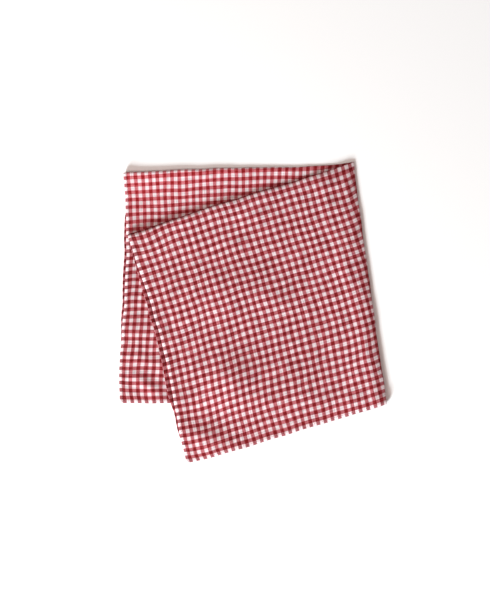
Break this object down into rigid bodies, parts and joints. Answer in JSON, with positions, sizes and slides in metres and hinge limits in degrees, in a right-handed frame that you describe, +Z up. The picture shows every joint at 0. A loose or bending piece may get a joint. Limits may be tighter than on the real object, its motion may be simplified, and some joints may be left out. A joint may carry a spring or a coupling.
{
  "type": "square scarf",
  "caption": "Square gingham cotton scarf with a narrow hem, folded in half and then folded over at a slant, lying flat.",
  "frame": {"origin": "centre of the folded scarf's bounding box in plan, on the surface it lies on", "axes": "+Z up out of the surface; +Y towards the first fold, along the longer side in plan; +X towards the second fold"},
  "size_m": [0.3207, 0.3615, 0.0096],
  "materials": {
    "gingham": "matt red and white woven gingham cotton"
  },
  "bodies": {
    "root": {"scarf": "gingham"}
  },
  "joints": []
}
